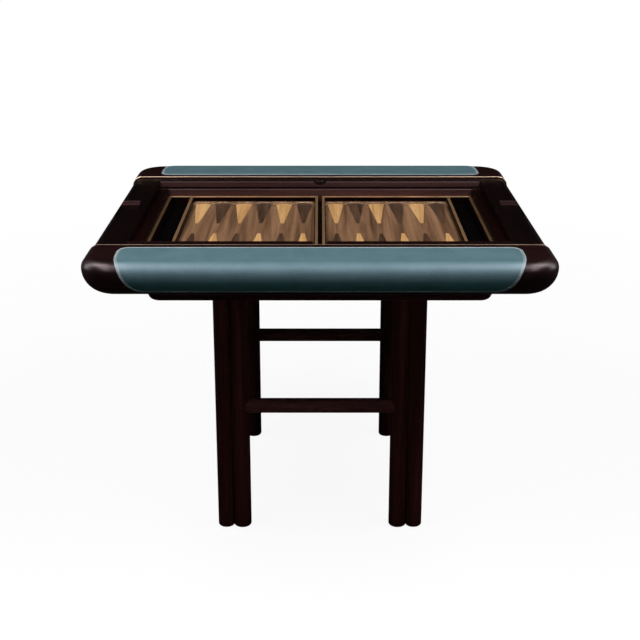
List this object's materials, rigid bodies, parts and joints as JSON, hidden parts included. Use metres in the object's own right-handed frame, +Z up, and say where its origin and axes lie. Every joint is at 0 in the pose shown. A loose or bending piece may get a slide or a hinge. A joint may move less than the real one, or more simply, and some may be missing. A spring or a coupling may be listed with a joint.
{
  "type": "backgammon table",
  "caption": "Square games table with a bullnosed top, leather arm rests, a sunken backgammon board in lift-out trays, and twin-post legs joined by round stretchers.",
  "frame": {"origin": "on the floor, under the middle of the top", "axes": "+Z up, +X to the right and +Y to the rear, as seen by a player at the front rail"},
  "size_m": [1.043, 1.0516, 0.7458],
  "materials": {
    "dark_wood": "dark stained hardwood, satin lacquer",
    "leather": "grained teal leather, satin",
    "brass": "satin brass",
    "walnut": "walnut veneer, satin lacquer",
    "light_veneer": "pale oak veneer, satin lacquer",
    "dark_veneer": "smoked walnut veneer, satin lacquer",
    "felt": "near-black wool felt",
    "foot_felt": "dark wool felt",
    "plywood": "stained plywood",
    "steel": "zinc plated steel",
    "beech": "plain beech dowel"
  },
  "bodies": {
    "table": {"front_rail": "dark_wood", "front_brass_line": "brass", "front_arm_pad": "leather", "front_ledge": "dark_wood", "front_well_wall": "dark_wood", "front_apron": "dark_wood", "front_stretcher": "dark_wood", "rear_rail": "dark_wood", "rear_brass_line": "brass", "rear_arm_pad": "leather", "rear_ledge": "dark_wood", "rear_well_wall": "dark_wood", "rear_apron": "dark_wood", "rear_stretcher": "dark_wood", "left_side_panel": "dark_wood", "left_well_wall": "dark_wood", "left_apron": "dark_wood", "right_side_panel": "dark_wood", "right_well_wall": "dark_wood", "right_apron": "dark_wood", "well_floor": "plywood", "centre_batten": "dark_wood", "leg_deck": "plywood", "frame_dowels": "beech", "floor_screws": "steel", "leg_studs": "steel", "flange_nuts": "steel", "foot_pads": "foot_felt", "front_left_inner_post": "dark_wood", "front_left_outer_post": "dark_wood", "front_right_inner_post": "dark_wood", "front_right_outer_post": "dark_wood", "rear_left_inner_post": "dark_wood", "rear_left_outer_post": "dark_wood", "rear_right_inner_post": "dark_wood", "rear_right_outer_post": "dark_wood"},
    "left_tray": {"left_tray_base": "dark_wood", "left_tray_outer_wall": "dark_wood", "left_tray_partition": "dark_wood", "left_tray_centre_wall": "dark_wood", "left_tray_front_wall": "dark_wood", "left_tray_rear_wall": "dark_wood", "left_tray_caps": "brass", "left_field_panel": "walnut", "left_light_points": "light_veneer", "left_dark_points": "dark_veneer", "left_checker_rests": "walnut", "left_trough_felt": "felt"},
    "right_tray": {"right_tray_base": "dark_wood", "right_tray_outer_wall": "dark_wood", "right_tray_partition": "dark_wood", "right_tray_centre_wall": "dark_wood", "right_tray_front_wall": "dark_wood", "right_tray_rear_wall": "dark_wood", "right_tray_caps": "brass", "right_field_panel": "walnut", "right_light_points": "light_veneer", "right_dark_points": "dark_veneer", "right_checker_rests": "walnut", "right_trough_felt": "felt"}
  },
  "joints": [
    {"name": "left_tray_lift", "type": "slide", "parent": "table", "child": "left_tray", "axis": [0, 0, 1], "range_m": [0, 0.085]},
    {"name": "right_tray_lift", "type": "slide", "parent": "table", "child": "right_tray", "axis": [0, 0, 1], "range_m": [0, 0.085]}
  ]
}
